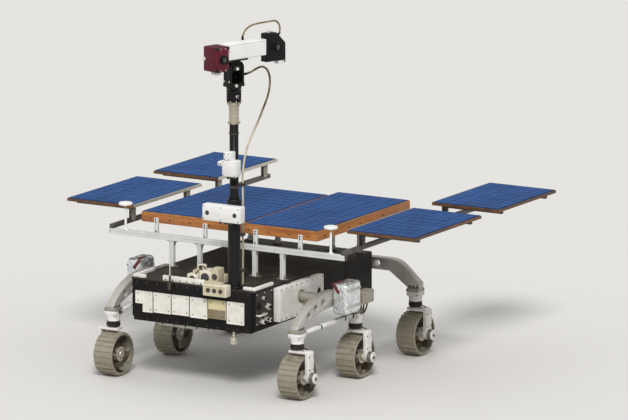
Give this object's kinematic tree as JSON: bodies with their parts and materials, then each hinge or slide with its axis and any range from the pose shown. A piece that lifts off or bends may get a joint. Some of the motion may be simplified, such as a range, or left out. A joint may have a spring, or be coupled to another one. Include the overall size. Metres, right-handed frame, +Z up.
{
  "type": "planetary rover prototype",
  "caption": "Planetary rover prototype with steered metal wheels on bogies, flat solar boards over a black body and a tall mast with a panning, tilting camera bench.",
  "frame": {"origin": "on the ground under the middle of the overall length and width", "axes": "+X forward, +Y to the rover's left, +Z up"},
  "size_m": [2.256, 2.29, 2.0794],
  "materials": {
    "wheel_metal": "dusty bare sheet metal",
    "leg_white": "satin white paint",
    "housing_metal": "machined",
    "bogie_metal": "machined, dusty",
    "pod_foil": "crinkled foil",
    "body_black": "matt black paint",
    "plate_white": "satin white paint",
    "rail_white": "satin white paint",
    "batten_wood": "varnished softwood",
    "board_wood": "varnished plywood",
    "cell_blue": "printed blue sheet",
    "wing_metal": "dark anodised",
    "antenna_white": "moulded",
    "mast_black": "satin black",
    "adapter_metal": "turned",
    "camera_red": "anodised red",
    "camera_black": "moulded",
    "cable_jacket": "cream jacket",
    "beige_case": "moulded"
  },
  "bodies": {
    "root": {"steer_housings": "housing_metal", "bogie_left": "bogie_metal", "bogie_right": "bogie_metal", "bogie_rear": "bogie_metal", "bogie_pivots": "bogie_metal", "bogie_ties": "leg_white", "bogie_pods": "pod_foil", "chassis_tub": "body_black", "deck_plate": "body_black", "front_fascia": "body_black", "front_plates": "plate_white", "side_boxes": "plate_white", "under_bar": "bogie_metal", "under_sensor": "housing_metal", "lifting_eye": "bogie_metal", "front_instrument": "beige_case", "deck_instrument": "beige_case", "deck_bar": "plate_white", "whip_antenna": "mast_black", "panel_rails": "rail_white", "deck_posts": "rail_white", "battens_across": "batten_wood", "battens_along": "batten_wood", "batten_posts": "rail_white", "centre_boards": "board_wood", "wing_boards": "wing_metal", "cell_sheets": "cell_blue", "wing_spars": "wing_metal", "wing_ribs": "wing_metal", "wing_uprights": "wing_metal", "disc_antennas": "antenna_white", "mast_lower": "mast_black", "mast_upper": "mast_black", "mast_adapter": "adapter_metal", "mast_camera_box": "plate_white", "mast_box": "plate_white", "mast_cable": "cable_jacket", "cable_clips": "camera_black", "head_cable": "cable_jacket", "pan_base": "mast_black"},
    "head_pan": {"pan_yoke": "mast_black"},
    "head_tilt": {"tilt_block": "mast_black", "camera_bench": "plate_white", "camera_red": "camera_red", "camera_black": "camera_black", "camera_feet": "plate_white", "bench_cables": "cable_jacket"},
    "leg_front_left": {"leg_front_left": "leg_white"},
    "wheel_front_left": {"wheel_front_left": "wheel_metal"},
    "leg_front_right": {"leg_front_right": "leg_white"},
    "wheel_front_right": {"wheel_front_right": "wheel_metal"},
    "leg_mid_left": {"leg_mid_left": "leg_white"},
    "wheel_mid_left": {"wheel_mid_left": "wheel_metal"},
    "leg_mid_right": {"leg_mid_right": "leg_white"},
    "wheel_mid_right": {"wheel_mid_right": "wheel_metal"},
    "leg_rear_left": {"leg_rear_left": "leg_white"},
    "wheel_rear_left": {"wheel_rear_left": "wheel_metal"},
    "leg_rear_right": {"leg_rear_right": "leg_white"},
    "wheel_rear_right": {"wheel_rear_right": "wheel_metal"}
  },
  "joints": [
    {"name": "steer_front_left", "type": "hinge", "parent": "root", "child": "leg_front_left", "pos_m": [0.85695, 0.6, 0.3], "axis": [0, 0, 1], "range_deg": [-70, 70]},
    {"name": "spin_front_left", "type": "hinge", "parent": "leg_front_left", "child": "wheel_front_left", "pos_m": [0.85695, 0.6, 0.125], "axis": [0, 1, 0], "continuous": true},
    {"name": "steer_front_right", "type": "hinge", "parent": "root", "child": "leg_front_right", "pos_m": [0.85695, -0.6, 0.3], "axis": [0, 0, 1], "range_deg": [-70, 70]},
    {"name": "spin_front_right", "type": "hinge", "parent": "leg_front_right", "child": "wheel_front_right", "pos_m": [0.85695, -0.6, 0.125], "axis": [0, 1, 0], "continuous": true},
    {"name": "steer_mid_left", "type": "hinge", "parent": "root", "child": "leg_mid_left", "pos_m": [0.21695, 0.6, 0.3], "axis": [0, 0, 1], "range_deg": [-70, 70]},
    {"name": "spin_mid_left", "type": "hinge", "parent": "leg_mid_left", "child": "wheel_mid_left", "pos_m": [0.21695, 0.6, 0.125], "axis": [0, 1, 0], "continuous": true},
    {"name": "steer_mid_right", "type": "hinge", "parent": "root", "child": "leg_mid_right", "pos_m": [0.21695, -0.6, 0.3], "axis": [0, 0, 1], "range_deg": [-70, 70]},
    {"name": "spin_mid_right", "type": "hinge", "parent": "leg_mid_right", "child": "wheel_mid_right", "pos_m": [0.21695, -0.6, 0.125], "axis": [0, 1, 0], "continuous": true},
    {"name": "steer_rear_left", "type": "hinge", "parent": "root", "child": "leg_rear_left", "pos_m": [-0.46305, 0.6, 0.3], "axis": [0, 0, 1], "range_deg": [-70, 70]},
    {"name": "spin_rear_left", "type": "hinge", "parent": "leg_rear_left", "child": "wheel_rear_left", "pos_m": [-0.46305, 0.6, 0.125], "axis": [0, 1, 0], "continuous": true},
    {"name": "steer_rear_right", "type": "hinge", "parent": "root", "child": "leg_rear_right", "pos_m": [-0.46305, -0.6, 0.3], "axis": [0, 0, 1], "range_deg": [-70, 70]},
    {"name": "spin_rear_right", "type": "hinge", "parent": "leg_rear_right", "child": "wheel_rear_right", "pos_m": [-0.46305, -0.6, 0.125], "axis": [0, 1, 0], "continuous": true},
    {"name": "head_pan", "type": "hinge", "parent": "root", "child": "head_pan", "pos_m": [0.94495, 0.247, 1.72], "axis": [0, 0, 1], "range_deg": [-158, 158], "deforming": ["head_cable"]},
    {"name": "head_tilt", "type": "hinge", "parent": "head_pan", "child": "head_tilt", "pos_m": [0.94495, 0.247, 1.845], "axis": [-0.9489, 0.3156, 0], "range_deg": [-30, 80]}
  ]
}
